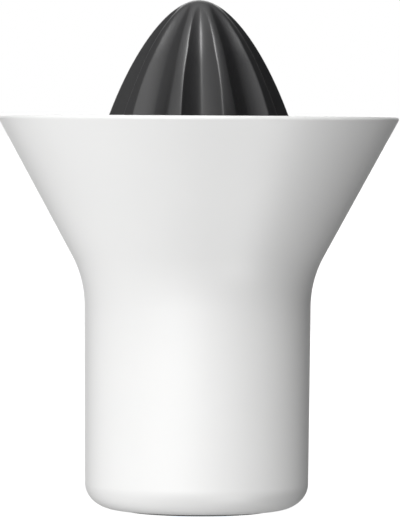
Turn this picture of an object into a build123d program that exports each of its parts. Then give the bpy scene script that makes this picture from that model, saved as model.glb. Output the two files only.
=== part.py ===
from build123d import *
import math
import os

# Free-standing citrus press: a vessel with a funnel mouth, a strainer that beds in the
# funnel, and a hollow fluted reamer that drops over the strainer's boss.
# Millimetres, +Z up, origin on the table under the middle, -Y towards the viewer.
# Outlines are drawn as (radius, level) and turned about Z.

# Vessel
vessel_height = 118.15      # base to lip
waist_radius = 34.0         # where the body's line meets the flare's line
body_draft = 0.45           # how much slimmer the body is above its base corner
flare_angle = 28.5          # of the funnel from the vertical, in degrees
waist_bend = 32.0           # bend between body and flare
base_corner_width = 9.4     # of the rounded base corner, across
base_corner_height = 7.9    # and up
wall = 3.2                  # square to the surface
floor_thickness = 4.4
well_corner = 6.5           # inside corner of the floor
lip_outer_round = 0.9
lip_inner_round = 1.4

# Foot pad, in a recess under the vessel
pad_margin = 2.7            # inside the flat of the base
pad_thickness = 2.2
pad_standout = 0.6          # below the base
pad_edge_chamfer = 0.4
pad_fit = 0.15              # round the pad

# Reamer
reamer_radius = 32.0        # of the lands, at the base
reamer_height = 51.2        # base to tip
flute_count = 10
flute_radius = 13.4         # of the round tool that would hollow the flutes
reamer_wall = 2.0
nose_wall = 3.0             # at the tip
flange_standout = 1.3       # past the lands
flange_thickness = 1.8
flange_chamfer = 0.6

# Outline of the reamer's lands, as shares of its radius and height
nose_level_share = 0.349        # how far out the outline leaves the tip level
shoulder_radius_share = 0.785
shoulder_height_share = 0.55

# Bottom of a flute, from over the nose to the base, in the same shares
flute_start_shares = (0.069, 1.023)
flute_nose_shares = (0.349, 0.854)
flute_turn_shares = (0.555, 0.639)
flute_foot_shares = (0.903, 0.0)

# Strainer
trough_width = 11.2         # floor between the reamer's flange and the strainer's wall
trough_depth = 16.7         # vessel's lip down to the floor
strainer_wall = 2.2
strainer_floor = 2.0
strainer_drop = 5.5         # vessel's lip down to the strainer's rim
strainer_rim_chamfer = 0.5
trough_corner = 3.0         # inside corner of the trough
heel_corner = 3.5           # outside corner under it
funnel_gap = 0.8            # strainer's wall to the funnel
boss_height = 8.5
boss_wall = 2.0             # behind the flutes
boss_fit = 0.3              # boss to the inside of the reamer
seat_gap = 0.15             # floor to the reamer's base
slot_count = 36
slot_width = 1.8
slot_margin = 0.9           # slot ends to the flange and to the trough's corner

# Strainer seal, in a groove round the strainer's wall
seal_height = 3.2           # of the groove
seal_depth = 0.9            # of the groove
seal_drop = 2.4             # strainer's rim down to the groove
seal_fit = 0.1              # round the seal in its groove
seal_gap = 0.25             # seal to the funnel

overrun = 2.0               # how far a cut runs past what it cuts
first_flute = -90           # in degrees: one flute faces the viewer

# Levels
base_level = pad_standout
corner_level = base_level + base_corner_height
lip_level = base_level + vessel_height
trough_level = lip_level - trough_depth
reamer_level = trough_level + seat_gap
rim_level = lip_level - strainer_drop
groove_top = rim_level - seal_drop
groove_bottom = groove_top - seal_height
skirt_depth = strainer_floor + seat_gap + overrun

# Radii and slopes, from the reamer outwards
flare_slope = math.tan(math.radians(flare_angle))
level_thickness_ratio = 1 / math.cos(math.radians(flare_angle))
flange_radius = reamer_radius + flange_standout
trough_radius = flange_radius + trough_width
strainer_inset = wall + funnel_gap
trough_inset = strainer_inset + strainer_wall
lip_radius = trough_radius + trough_inset * level_thickness_ratio + trough_depth * flare_slope
waist_level = lip_level - (lip_radius - waist_radius) / flare_slope
body_slope = body_draft / (waist_level - corner_level)
base_radius = waist_radius - body_draft - base_corner_width
pad_radius = base_radius - pad_margin


def flare_radius(level, inset):
    """Radius of the cone that lies inset inside the vessel's flare."""
    return lip_radius - (lip_level - level) * flare_slope - inset * level_thickness_ratio


def body_radius(level, inset):
    """Radius of the vessel's nearly straight body, inset from its outside."""
    return waist_radius - (waist_level - level) * body_slope - inset


def waist_corner(inset):
    """Point where the inset body meets the inset flare, before the bend."""
    level = waist_level + inset * (level_thickness_ratio - 1) / (flare_slope - body_slope)
    return body_radius(level, inset), level


def turned(*lines):
    """Solid turned about Z from the closed outline that these lines make."""
    return revolve(Plane.XZ * make_face(Curve() + list(lines)), Axis.Z)


def above(level, solid):
    """What a solid has above a level."""
    return split(solid, Plane.XY.offset(level), keep=Keep.TOP)


def below(level, solid):
    """What a solid has below a level."""
    return split(solid, Plane.XY.offset(level), keep=Keep.BOTTOM)


def make_vessel():
    """White vessel: well, waist and funnel in one wall, with a recess under its base."""
    well_level = base_level + floor_thickness
    section = FilletPolyline(
        (0, well_level),
        (body_radius(well_level, wall), well_level),
        waist_corner(wall),
        (flare_radius(lip_level, wall), lip_level),
        (lip_radius, lip_level),
        waist_corner(0),
        (body_radius(corner_level, 0), corner_level),
        radius=[well_corner, waist_bend + wall, lip_inner_round, lip_outer_round, waist_bend],
    )
    base_corner = EllipticalCenterArc(
        (base_radius, corner_level), base_corner_width, base_corner_height, start_angle=270, arc_size=90
    )
    base = Polyline(base_corner @ 0, (0, base_level), (0, well_level))
    recess = extrude(Circle(pad_radius + pad_fit), pad_thickness)
    return turned(section, base_corner, base) - recess


def make_foot_pad():
    """Soft disc that the vessel stands on."""
    pad = extrude(Circle(pad_radius), pad_thickness)
    return chamfer(pad.edges().group_by(Axis.Z)[0], pad_edge_chamfer)


def flute_bottom():
    """Line along the bottom of a flute, over +X: two tangent arcs and a straight run past the base."""
    start, nose, turn, foot = [
        (radius_share * reamer_radius, height_share * reamer_height)
        for radius_share, height_share in (
            flute_start_shares, flute_nose_shares, flute_turn_shares, flute_foot_shares
        )
    ]
    nose_run = ThreePointArc(start, nose, turn)
    side_run = TangentArc(turn, foot, tangent=nose_run % 1)
    tail = Line(foot, side_run @ 1 + side_run % 1 * (skirt_depth + overrun))
    return Plane.XZ * (Curve() + [nose_run, side_run, tail])


def fluted_form(inset, nose_inset):
    """The reamer's fluted dome, inset all round, with a straight skirt below its base."""
    radius = reamer_radius - inset
    height = reamer_height - nose_inset
    outline = Bezier(
        (0, height),
        (radius * nose_level_share, height),
        (radius * shoulder_radius_share, height * shoulder_height_share),
        (radius, 0),
    )
    dome = turned(outline, Polyline((radius, 0), (radius, -skirt_depth), (0, -skirt_depth), (0, height)))
    path = flute_bottom()
    outwards = (path % 0).cross(Vector(0, 1, 0))
    section = Plane(path @ 0, x_dir=outwards, z_dir=path % 0) * Pos(flute_radius) * Circle(flute_radius + inset)
    flute = sweep(section, path=path)
    return Pos(Z=reamer_level) * (dome - [place * flute for place in PolarLocations(0, flute_count, first_flute)])


def make_reamer():
    """Hollow fluted dome on a thin flange. Its inside follows its flutes."""
    flange = extrude(Circle(flange_radius), flange_thickness)
    flange = Pos(Z=reamer_level) * chamfer(flange.edges().group_by(Axis.Z)[-1], flange_chamfer)
    dome = above(reamer_level, fluted_form(0, 0))
    return dome + flange - fluted_form(reamer_wall, nose_wall)


def juice_slots(bottom_level):
    """Radial slots with round ends, from the reamer's flange to the trough's corner."""
    corner_reach = trough_corner * math.tan(math.radians(90 - flare_angle) / 2)
    start = flange_radius + slot_margin
    end = trough_radius - corner_reach - slot_margin
    slot = SlotOverall(end - start, slot_width)
    ring = Sketch() + [place * slot for place in PolarLocations((start + end) / 2, slot_count)]
    return Pos(Z=bottom_level - overrun) * extrude(ring, strainer_floor + overrun * 2)


def seal_groove():
    """Ring that leaves the seal's groove in the strainer's wall."""
    back = strainer_inset + seal_depth
    return turned(
        Polyline(
            (flare_radius(groove_bottom, back), groove_bottom),
            (lip_radius, groove_bottom),
            (lip_radius, groove_top),
            (flare_radius(groove_top, back), groove_top),
            close=True,
        )
    )


def make_strainer():
    """Slotted trough bedded in the funnel, round a fluted boss that fits inside the reamer."""
    bottom_level = trough_level - strainer_floor
    boss_top = reamer_level + boss_height
    boss = fluted_form(reamer_wall + boss_fit, nose_wall + boss_fit)
    boss = below(boss_top, above(bottom_level, boss))
    boss_outline = boss.faces().sort_by(Axis.Z)[-1].outer_wire()
    bore_radius = boss_outline.distance_to(Vertex(0, 0, boss_top)) - boss_wall
    trough = turned(
        FilletPolyline(
            (bore_radius, trough_level),
            (trough_radius, trough_level),
            (flare_radius(rim_level, trough_inset), rim_level),
            (flare_radius(rim_level, strainer_inset), rim_level),
            (flare_radius(bottom_level, strainer_inset), bottom_level),
            (bore_radius, bottom_level),
            radius=[trough_corner, 0, 0, heel_corner],
        ),
        Line((bore_radius, bottom_level), (bore_radius, trough_level)),
    )
    trough = chamfer(trough.edges().group_by(Axis.Z)[-1], strainer_rim_chamfer)
    bore = Pos(Z=bottom_level - overrun) * extrude(Circle(bore_radius), boss_top - bottom_level + overrun * 2)
    return trough + boss - bore - seal_groove() - juice_slots(bottom_level)


def make_strainer_seal():
    """Soft ring in the strainer's groove, standing out towards the funnel."""
    low, high = groove_bottom + seal_fit, groove_top - seal_fit
    back, front = strainer_inset + seal_depth - seal_fit, wall + seal_gap
    return turned(
        Polyline(
            (flare_radius(low, back), low),
            (flare_radius(low, front), low),
            (flare_radius(high, front), high),
            (flare_radius(high, back), high),
            close=True,
        )
    )


pieces = {
    "vessel": make_vessel,
    "foot_pad": make_foot_pad,
    "strainer": make_strainer,
    "strainer_seal": make_strainer_seal,
    "reamer": make_reamer,
}

os.makedirs("parts", exist_ok=True)
for node, make_piece in pieces.items():
    export_step(make_piece(), os.path.join("parts", node + ".step"))
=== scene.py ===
import math

import bpy
import numpy as np
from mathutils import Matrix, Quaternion, Vector


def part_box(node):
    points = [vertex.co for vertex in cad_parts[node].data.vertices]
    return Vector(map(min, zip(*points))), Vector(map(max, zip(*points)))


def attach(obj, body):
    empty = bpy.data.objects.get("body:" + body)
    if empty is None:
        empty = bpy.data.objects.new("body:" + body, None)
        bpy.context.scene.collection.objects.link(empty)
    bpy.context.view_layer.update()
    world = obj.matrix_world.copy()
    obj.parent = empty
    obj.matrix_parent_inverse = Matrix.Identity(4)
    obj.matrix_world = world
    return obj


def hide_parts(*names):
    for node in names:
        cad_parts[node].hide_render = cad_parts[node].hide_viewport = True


# Citrus press, in metres: glazed white vessel, charcoal fluted reamer and slotted strainer,
# soft seal and foot pad. Outlines are (radius, level) points, turned about Z.

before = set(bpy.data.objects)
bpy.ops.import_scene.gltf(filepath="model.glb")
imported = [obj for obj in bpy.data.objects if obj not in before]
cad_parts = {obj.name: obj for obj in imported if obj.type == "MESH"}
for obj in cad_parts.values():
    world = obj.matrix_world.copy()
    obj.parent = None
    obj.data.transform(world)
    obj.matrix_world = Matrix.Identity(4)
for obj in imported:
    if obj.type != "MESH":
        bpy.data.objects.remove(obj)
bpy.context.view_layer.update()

MM = 0.001

# Places that the frame gives
base_level, lip_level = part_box("vessel")[0].z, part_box("vessel")[1].z
reamer_level, tip_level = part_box("reamer")[0].z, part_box("reamer")[1].z
flange_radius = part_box("reamer")[1].x
rim_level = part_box("strainer")[1].z
seal_bottom, seal_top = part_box("strainer_seal")[0].z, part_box("strainer_seal")[1].z
pad_radius, pad_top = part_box("foot_pad")[1].x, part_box("foot_pad")[1].z

# Vessel
flare_angle = math.radians(28.5)
lip_radius = 60.62 * MM
waist_radius = 34.0 * MM
body_draft = 0.45 * MM
waist_bend = 32.0 * MM
wall = 3.2 * MM
floor_thickness = 4.4 * MM
well_corner = 6.5 * MM
lip_outer_round, lip_inner_round = 0.9 * MM, 1.4 * MM
base_corner_width, base_corner_height = 9.4 * MM, 7.9 * MM
recess_fit = 0.15 * MM
recess_round = 0.35 * MM

# Reamer
reamer_radius = 32.0 * MM
reamer_height = tip_level - reamer_level
flute_count = 10
first_flute = math.radians(-90)
valley_slope = 0.20                 # of a flute's two hollow walls, where they meet in a soft crease
valley_wall_radius = 13.0 * MM
valley_round = 0.45 * MM            # of the soft crease
valley_depth = 0.45 * MM            # of the crease inside the solid's round flute
valley_run = 12.0 * MM              # below the tip, over which the crease gets that deep
reamer_wall, nose_wall = 2.0 * MM, 3.0 * MM
flange_thickness, flange_round = 1.8 * MM, 0.7 * MM
land_round = 0.22 * MM
root_round = 0.5 * MM
nose_level_share = 0.349
shoulder_shares = (0.785, 0.55)
flute_start_shares = (0.069, 1.023)
flute_nose_shares = (0.349, 0.854)
flute_turn_shares = (0.555, 0.639)
flute_foot_shares = (0.903, 0.0)
flute_columns = [0, 0.4, 0.8, 1.3, 2, 3, 4.5, 6.5, 8.5, 10]     # degrees from a crease
land_columns = np.linspace(11, 17, 16)                          # closer, over the edge of a land
outside_rows, inside_rows, root_rows, edge_rows = 120, 30, 6, 8
tip_crowding = 1.25                 # power that draws the outside's rows towards the tip
fitting_rounds = 60
furthest_out = 4.0 * MM             # a point may start outside the dome

# Seal and pad
seal_depth, seal_fit, seal_gap, funnel_gap = 0.9 * MM, 0.1 * MM, 0.25 * MM, 0.8 * MM
seal_round = 0.4 * MM
pad_edge_round = 0.4 * MM
pad_rim_round = 0.1 * MM
small_step = 0.08 * MM              # along the small rounds

# Meshes
columns_round = 384                 # of a plain turned piece
outline_step = 0.35 * MM            # along an arc of an outline
fewest_arc_steps = 4
base_corner_rows = 28
recess_step = 0.1 * MM
pole_size = 1e-7                    # of a ring that counts as one point
edge_angle = math.radians(42)       # a sharper edge is shaded as an edge

# Camera
eye_distance = 1.5
pixel = 0.3 * MM                    # at the vessel's axis
frame_width, frame_height = 400, 517    # in pixels
horizon_row = 118.4
axis_column = 197.9
eye_below_lip = 0.85 * MM
camera_turn = math.radians(-2.1)    # shows the front flute a little right of the middle
camera_roll = math.radians(0.34)
sensor_width = 36.0                 # in millimetres, as the camera wants it

# Light
white = (1, 1, 1, 1)
backdrop_strength = 1.0
ambient_light = 0.02
lamps = [                           # azimuth and elevation in degrees, strength, sharpness
    (-26, 7, 2.0, 8.5),     # large softbox left of the viewer
    (-3, 23, 0.9, 9.4),     # smaller one above the viewer
    (-50, 45, 0.3, 5.0),    # high on the left
    (3, 64, 17.0, 60.0),    # small one overhead, for a line of light along each edge
    (-97, -21, 1.05, 3.4),  # white wall on the left
    (47, -47, 3.0, 24.0),   # light off the table, low on the right
    (-45, -62, 0.55, 3.0),  # light off the table, low on the left
    (-113, 71, 0.75, 8.4),  # overhead, behind on the left
    (165, 68, 0.7, 12.0),   # overhead, behind on the right
    (180, 14, 2.5, 22.0),   # behind
]


def unit(v):
    return v / np.linalg.norm(v)


def rounded(corners, radii, step=outline_step):
    """Outline through corners, each inner corner replaced by an arc of its radius.

    A corner that turns by t is cut back radius * tan(t / 2) along both sides, and the arc turns
    by t about a centre that lies square to the first side.
    """
    corners = [np.array(c, float) for c in corners]
    line = [corners[0][None]]
    for before, corner, after, radius in zip(corners, corners[1:], corners[2:], radii):
        along, away = unit(corner - before), unit(after - corner)
        turn = math.atan2(along[0] * away[1] - along[1] * away[0], along @ away)
        start = corner - along * radius * math.tan(abs(turn) / 2)
        side = np.array([-along[1], along[0]]) * math.copysign(1, turn)
        steps = max(fewest_arc_steps, math.ceil(radius * abs(turn) / step))
        angles = np.linspace(0, abs(turn), steps + 1)[:, None]
        line.append(start + radius * (np.sin(angles) * along + (1 - np.cos(angles)) * side))
    line.append(corners[-1][None])
    return np.concatenate(line)


def turned(outline):
    """Rings of an outline turned about Z: point (r, z) becomes (r cos a, r sin a, z)."""
    angle = np.linspace(0, 2 * np.pi, columns_round, endpoint=False)
    radius, level = outline[:, :1], outline[:, 1:]
    return np.stack([radius * np.cos(angle), radius * np.sin(angle), level + 0 * angle], axis=-1)


def skin(name, rings, closed=False):
    """Mesh over a stack of rings, where rings[i, j] is point j of ring i.

    A ring closes on itself. Each ring is joined to the next, and the last to the first where the
    section is closed. A ring of no size is one point, a pole. Where the volume comes out negative,
    the faces are turned round.
    """
    rows, columns = rings.shape[:2]
    index = np.arange(rows * columns).reshape(rows, columns)
    poles = np.ptp(rings, axis=1).max(axis=1) < pole_size
    index[poles] = index[poles, :1]
    if closed:
        index = np.concatenate([index, index[:1]])
    beside = np.roll(index, -1, axis=1)
    a, b, c, d = index[:-1], beside[:-1], beside[1:], index[1:]
    faces = np.concatenate([np.stack(t, axis=-1).reshape(-1, 3) for t in ((a, b, c), (a, c, d))])
    distinct = (faces != np.roll(faces, 1, axis=1)).all(axis=1)
    used, faces = np.unique(faces[distinct], return_inverse=True)
    points, faces = rings.reshape(-1, 3)[used], faces.reshape(-1, 3)
    p, q, r = (points[faces[:, k]] for k in range(3))
    if np.einsum("ij,ij->", p, np.cross(q, r)) < 0:
        faces = faces[:, ::-1]
    mesh = bpy.data.meshes.new(name)
    mesh.vertices.add(len(points))
    mesh.vertices.foreach_set("co", points.ravel())
    mesh.loops.add(faces.size)
    mesh.loops.foreach_set("vertex_index", faces.ravel())
    mesh.polygons.add(len(faces))
    mesh.polygons.foreach_set("loop_start", np.arange(0, faces.size, 3))
    mesh.update(calc_edges=True)
    mesh.validate()
    mesh.shade_smooth()
    mesh.set_sharp_from_angle(angle=edge_angle)
    piece = bpy.data.objects.new(name, mesh)
    bpy.context.scene.collection.objects.link(piece)
    return piece


def flare_at(level, inset):
    """Radius of the cone that lies inset inside the vessel's flare."""
    return lip_radius - (lip_level - level) * math.tan(flare_angle) - inset / math.cos(flare_angle)


def body_at(level, inset):
    """Radius of the vessel's body, which widens by its draft from the base corner to the waist."""
    waist_level = lip_level - (lip_radius - waist_radius) / math.tan(flare_angle)
    slope = body_draft / (waist_level - base_level - base_corner_height)
    return waist_radius - (waist_level - level) * slope - inset


def waist_at(inset):
    """Corner where the inset body meets the inset flare: the gap between them is linear in the level."""
    gap_low, gap_high = (flare_at(level, inset) - body_at(level, inset) for level in (base_level, lip_level))
    level = base_level - (lip_level - base_level) * gap_low / (gap_high - gap_low)
    return body_at(level, inset), level


def make_vessel():
    """Inside from the well to the lip, then outside down to the elliptical base corner and recess."""
    well_level = base_level + floor_thickness
    corner_level = base_level + base_corner_height
    wall_line = rounded(
        [
            (0, well_level),
            (body_at(well_level, wall), well_level),
            waist_at(wall),
            (flare_at(lip_level, wall), lip_level),
            (lip_radius, lip_level),
            waist_at(0),
            (body_at(corner_level, 0), corner_level),
        ],
        [well_corner, waist_bend + wall, lip_inner_round, lip_outer_round, waist_bend],
    )
    turn = np.linspace(0, np.pi / 2, base_corner_rows)[1:, None]
    base_radius = body_at(corner_level, 0) - base_corner_width
    corner = np.hstack([
        base_radius + base_corner_width * np.cos(turn),
        corner_level - base_corner_height * np.sin(turn),
    ])
    recess = pad_radius + recess_fit
    underside = rounded(
        [(base_radius, base_level), (recess, base_level), (recess, pad_top), (0, pad_top)],
        [recess_round, recess_round],
        recess_step,
    )
    return skin("vessel_glaze", turned(np.concatenate([wall_line, corner, underside[1:]])))


def circle_through(a, b, c):
    """Centre and radius of the circle through three points."""
    a, b, c = (np.array(p) for p in (a, b, c))
    centre = np.linalg.solve(2 * np.array([b - a, c - a]), [b @ b - a @ a, c @ c - a @ a])
    return centre, np.linalg.norm(a - centre)


def flute_arcs():
    """The two tangent arcs along a flute's bottom, nose first, and the way out at their turn.

    Each arc is (centre, radius). The second arc's centre lies on the line from the turn through the
    first centre, as far from the turn as from the foot.
    """
    start, nose, turn, foot = (
        np.array([r * reamer_radius, h * reamer_height])
        for r, h in (flute_start_shares, flute_nose_shares, flute_turn_shares, flute_foot_shares)
    )
    centre, radius = circle_through(start, nose, turn)
    inwards = unit(centre - turn)
    chord = foot - turn
    side_radius = (chord @ chord) / (2 * chord @ inwards)
    return (centre, radius), (turn + inwards * side_radius, side_radius), -inwards


def fluted_rings(inset, nose_inset, share, angle, edge_round):
    """The reamer's fluted dome, inset all round, over outline shares 0 (tip) to 1 (base).

    The plain dome is a cubic curve turned about Z. Each point is moved in along the dome's normal
    until it leaves the tool that hollows the flute. A point y to the side of the flute's middle
    stands out past its crease by hypot(x - cx, z - cz) - arc radius + valley_depth, which fades
    out at the tip. The tool's face stands out there by
    valley_slope * (hypot(y, valley_round) - valley_round) + y^2 / (2 valley_wall_radius).
    The depth d is softened to (d + hypot(d, edge_round)) / 2, which rounds the lands' edges.
    """
    radius, height = reamer_radius - inset, reamer_height - nose_inset
    ends = np.array([
        (0, height),
        (radius * nose_level_share, height),
        (radius * shoulder_shares[0], height * shoulder_shares[1]),
        (radius, 0),
    ])
    s = share[:, None]
    weights = np.hstack([(1 - s) ** 3, 3 * s * (1 - s) ** 2, 3 * s**2 * (1 - s), s**3])
    slopes = np.hstack([-3 * (1 - s) ** 2, 3 * (1 - s) * (1 - 3 * s), 3 * s * (2 - 3 * s), 3 * s**2])
    place, along = weights @ ends, slopes @ ends
    normal = np.stack([-along[:, 1], along[:, 0]], axis=-1)
    normal /= np.linalg.norm(normal, axis=1)[:, None]
    pitch = 2 * np.pi / flute_count
    off_middle = (angle - first_flute + pitch / 2) % pitch - pitch / 2
    (nose_centre, nose_radius), (side_centre, side_radius), outwards = flute_arcs()
    depth = np.zeros((len(share), len(angle)))
    for _ in range(fitting_rounds):
        r = place[:, :1] - depth * normal[:, :1]
        z = place[:, 1:] - depth * normal[:, 1:]
        x, y = r * np.cos(off_middle), r * np.sin(off_middle)
        past_turn = (x - nose_centre[0]) * outwards[1] > (z - nose_centre[1]) * outwards[0]
        cx, cz = (np.where(past_turn, side_centre[k], nose_centre[k]) for k in (0, 1))
        arc_radius = np.where(past_turn, side_radius, nose_radius)
        valley = valley_depth * np.clip((reamer_height - z) / valley_run, 0, 1)
        out = np.hypot(x - cx, z - cz) - arc_radius + valley
        across = np.hypot(y, valley_round)
        face = valley_slope * (across - valley_round) + y**2 / (2 * valley_wall_radius)
        steepness = y * (valley_slope / across + 1 / valley_wall_radius)
        depth = np.maximum(depth - (face - out) / np.hypot(1, steepness) + inset, -furthest_out)
    depth = (depth + np.hypot(depth, edge_round)) / 2
    r = np.maximum(place[:, :1] - depth * normal[:, :1], 0)
    z = place[:, 1:] - depth * normal[:, 1:] + reamer_level
    return np.stack([r * np.cos(angle), r * np.sin(angle), z], axis=-1)


def flute_angles():
    """Angles round the reamer, the same for each flute and mirrored about its crease."""
    pitch = 360 / flute_count
    half = np.concatenate([flute_columns, land_columns, [pitch / 2]])
    flute = np.concatenate([-half[:0:-1], half[:-1]])
    return np.concatenate([np.radians(flute + k * pitch) + first_flute for k in range(flute_count)])


def make_reamer():
    """Fluted outside from tip to flange, over the flange, then up the fluted inside."""
    angle = flute_angles()
    round_about = np.stack([np.cos(angle), np.sin(angle)], axis=-1)

    def ring(radius, level):
        return np.concatenate([radius * round_about, np.full((len(angle), 1), level)], axis=1)[None]

    share = np.linspace(0, 1, outside_rows) ** tip_crowding
    outside = fluted_rings(0, 0, share, angle, land_round)
    flange_top = reamer_level + flange_thickness
    outside = outside[outside[:, :, 2].min(axis=1) > flange_top + root_round]
    foot = outside[-1]
    foot_radius = np.hypot(foot[:, 0], foot[:, 1])[:, None]
    root = []
    for turn in np.linspace(0, np.pi / 2, root_rows)[1:]:
        radius = foot_radius + root_round * (1 - np.cos(turn))
        level = foot[:, 2:] + (flange_top - foot[:, 2:]) * np.sin(turn)
        root.append(np.concatenate([radius * round_about, level], axis=1)[None])
    edge = [
        ring(
            flange_radius - flange_round * (1 - math.sin(turn)),
            flange_top - flange_round * (1 - math.cos(turn)),
        )
        for turn in np.linspace(0, math.pi / 2, edge_rows)
    ]
    under = ring(flange_radius, reamer_level)
    inside = fluted_rings(reamer_wall, nose_wall, np.linspace(1, 0, inside_rows), angle, land_round)
    inside[..., 2] = np.maximum(inside[..., 2], reamer_level)
    return skin("reamer_fluted", np.concatenate([outside, *root, *edge, under, inside]))


def make_seal():
    """Soft ring: a level band of the cone, with its two outer corners rounded."""
    back = wall + funnel_gap + seal_depth - seal_fit
    front = wall + seal_gap
    outline = rounded(
        [
            (flare_at(seal_bottom, back), seal_bottom),
            (flare_at(seal_bottom, front), seal_bottom),
            (flare_at(seal_top, front), seal_top),
            (flare_at(seal_top, back), seal_top),
        ],
        [seal_round, seal_round],
        small_step,
    )
    return skin("seal_ring", turned(outline), closed=True)


def make_pad():
    """Flat disc with rounded edges, the lower one more."""
    outline = rounded(
        [(0, pad_top), (pad_radius, pad_top), (pad_radius, 0), (0, 0)],
        [pad_rim_round, pad_edge_round],
        small_step,
    )
    return skin("foot_pad_disc", turned(outline))


class Value:
    """A number on a socket. Arithmetic on values adds the Math nodes that work it out."""

    def __init__(self, recipe, socket):
        self.recipe, self.socket = recipe, socket

    def math(self, operation, *others):
        node = self.recipe.node("ShaderNodeMath", {"operation": operation}, [self, *others])
        return Value(self.recipe, node.outputs[0])

    def __add__(self, other):
        return self.math("ADD", other)

    def __mul__(self, other):
        return self.math("MULTIPLY", other)

    def __pow__(self, other):
        return self.math("POWER", other)

    __radd__, __rmul__ = __add__, __mul__


class Recipe:
    """A node tree. node() adds a node, sets it up, then gives each input a constant or a link."""

    def __init__(self, tree):
        self.tree = tree
        tree.nodes.clear()

    def node(self, kind, settings=None, inputs=None):
        node = self.tree.nodes.new(kind)
        for name, setting in (settings or {}).items():
            setattr(node, name, setting)
        pairs = inputs.items() if isinstance(inputs, dict) else enumerate(inputs or [])
        for name, given in pairs:
            if isinstance(given, Value):
                given = given.socket
            if isinstance(given, bpy.types.NodeSocket):
                self.tree.links.new(given, node.inputs[name])
            else:
                node.inputs[name].default_value = given
        return node

    def noise(self, size, detail=2.0):
        """Noise from 0 to 1 whose blotches are about size across, fixed to the object."""
        place = self.node("ShaderNodeTexCoord").outputs["Object"]
        node = self.node(
            "ShaderNodeTexNoise",
            {"noise_dimensions": "3D"},
            {"Vector": place, "Scale": 1 / size, "Detail": detail},
        )
        return Value(self, node.outputs["Fac"])

    def bump(self, height, distance, strength):
        inputs = {"Height": height, "Distance": distance, "Strength": strength}
        return self.node("ShaderNodeBump", None, inputs).outputs["Normal"]

    def blend(self, share, low, high):
        """Colour between low and high."""
        node = self.node("ShaderNodeMix", {"data_type": "RGBA"}, {0: share, 6: low, 7: high})
        return node.outputs[2]


def finish(name, **surface):
    """Material with one Principled shader. A socket is given a constant or a function of the recipe."""
    material = bpy.data.materials.new(name)
    material.use_nodes = True
    recipe = Recipe(material.node_tree)
    inputs = {
        socket.replace("_", " "): given(recipe) if callable(given) else given
        for socket, given in surface.items()
    }
    shader = recipe.node("ShaderNodeBsdfPrincipled", None, inputs)
    recipe.node("ShaderNodeOutputMaterial", None, {"Surface": shader.outputs[0]})
    return material


glaze = finish(
    "satin_white_glaze",
    Base_Color=lambda m: m.blend(m.noise(22 * MM), (0.84, 0.84, 0.835, 1), (0.87, 0.87, 0.865, 1)),
    Roughness=lambda m: 0.26 + 0.08 * m.noise(9 * MM, 4),
    IOR=1.5,
    Normal=lambda m: m.bump(m.noise(3.5 * MM, 3), 0.02 * MM, 0.5),
)
nylon = finish(
    "charcoal_nylon",
    Base_Color=lambda m: m.blend(m.noise(5 * MM, 4), (0.016, 0.016, 0.017, 1), (0.021, 0.021, 0.022, 1)),
    Roughness=lambda m: 0.28 + 0.1 * m.noise(1.2 * MM, 3),
    IOR=1.65,
    Normal=lambda m: m.bump(m.noise(0.35 * MM, 2), 0.012 * MM, 0.6),
)
silicone = finish(
    "dark_silicone",
    Base_Color=lambda m: m.blend(m.noise(3 * MM, 3), (0.022, 0.022, 0.024, 1), (0.03, 0.03, 0.032, 1)),
    Roughness=lambda m: 0.55 + 0.12 * m.noise(2 * MM, 3),
    IOR=1.43,
    Normal=lambda m: m.bump(m.noise(0.25 * MM, 2), 0.01 * MM, 0.6),
)


def dress(piece, material, node, body):
    """Gives a piece its finish and lets it stand for a node of a body."""
    piece.data.materials.clear()
    piece.data.materials.append(material)
    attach(piece, body)
    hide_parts(node)


dress(make_vessel(), glaze, "vessel", "vessel")
dress(make_pad(), silicone, "foot_pad", "vessel")
dress(make_seal(), silicone, "strainer_seal", "strainer")
dress(make_reamer(), nylon, "reamer", "reamer")
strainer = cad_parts["strainer"]
for slot in strainer.material_slots:
    slot.material = nylon


def towards(azimuth, elevation):
    """Unit vector. Azimuth 0 is the viewer's side, and grows to the viewer's right."""
    a, e = math.radians(azimuth), math.radians(elevation)
    return Vector((math.sin(a) * math.cos(e), -math.cos(a) * math.cos(e), math.sin(e)))


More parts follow.
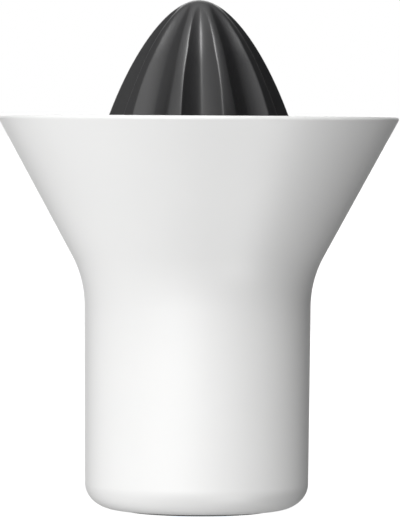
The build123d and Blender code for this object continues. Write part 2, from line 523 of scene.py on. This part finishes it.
def make_room():
    """Soft studio light: each lamp adds strength * max(0, cosine to its direction) ^ sharpness."""
    world = bpy.data.worlds.new("studio")
    bpy.context.scene.world = world
    world.use_nodes = True
    recipe = Recipe(world.node_tree)
    way = recipe.node("ShaderNodeTexCoord").outputs["Generated"]
    light = ambient_light
    for azimuth, elevation, strength, sharpness in lamps:
        axis = tuple(towards(azimuth, elevation))
        dot = recipe.node("ShaderNodeVectorMath", {"operation": "DOT_PRODUCT"}, [way, axis])
        cosine = Value(recipe, dot.outputs["Value"]).math("MAXIMUM", 0.0)
        light = light + strength * cosine**sharpness
    seen = recipe.node("ShaderNodeLightPath").outputs["Is Camera Ray"]
    glow = recipe.node("ShaderNodeBackground", None, {"Color": white, "Strength": light})
    backdrop = recipe.node("ShaderNodeBackground", None, {"Color": white, "Strength": backdrop_strength})
    mix = recipe.node("ShaderNodeMixShader", None, [seen, glow.outputs[0], backdrop.outputs[0]])
    recipe.node("ShaderNodeOutputWorld", None, {"Surface": mix.outputs[0]})


def make_floor():
    """Pale floor that glows a little, so that it stays pale under the press."""
    reach = 30.0
    corners = np.array([(-reach, -reach, 0), (reach, -reach, 0), (reach, reach, 0), (-reach, reach, 0)])
    mesh = bpy.data.meshes.new("floor")
    mesh.from_pydata(corners.tolist(), [], [(0, 1, 2, 3)])
    floor = bpy.data.objects.new("floor", mesh)
    bpy.context.scene.collection.objects.link(floor)
    mesh.materials.append(finish(
        "pale_floor",
        Base_Color=(0.25, 0.25, 0.25, 1),
        Roughness=1.0,
        Specular_IOR_Level=0.0,
        Emission_Color=white,
        Emission_Strength=0.95,
    ))
    floor.visible_diffuse = floor.visible_glossy = floor.visible_shadow = False


def make_camera():
    """Camera just under the lip's level, turned and rolled as the photograph's is.

    It is tipped down until its horizon lies on horizon_row, which takes in the whole press.
    """
    lens = bpy.data.cameras.new("camera")
    camera = bpy.data.objects.new("camera", lens)
    bpy.context.scene.collection.objects.link(camera)
    bpy.context.scene.camera = camera
    lens.sensor_width = sensor_width
    lens.lens = sensor_width * eye_distance / (frame_height * pixel)
    lens.clip_start, lens.clip_end = 0.1, 100.0
    ahead = Vector((-math.sin(camera_turn), math.cos(camera_turn), 0))
    right = Vector((ahead.y, -ahead.x, 0))
    eye = -ahead * eye_distance + Vector((0, 0, lip_level - eye_below_lip))
    aim = right * (frame_width / 2 - axis_column) * pixel
    aim.z = eye.z - (frame_height / 2 - horizon_row) * pixel
    back = (eye - aim).normalized()
    camera.location = eye
    camera.rotation_mode = "QUATERNION"
    camera.rotation_quaternion = Quaternion(back, camera_roll) @ back.to_track_quat("Z", "Y")


make_room()
make_floor()
make_camera()
bpy.context.scene.view_settings.view_transform = "Standard"
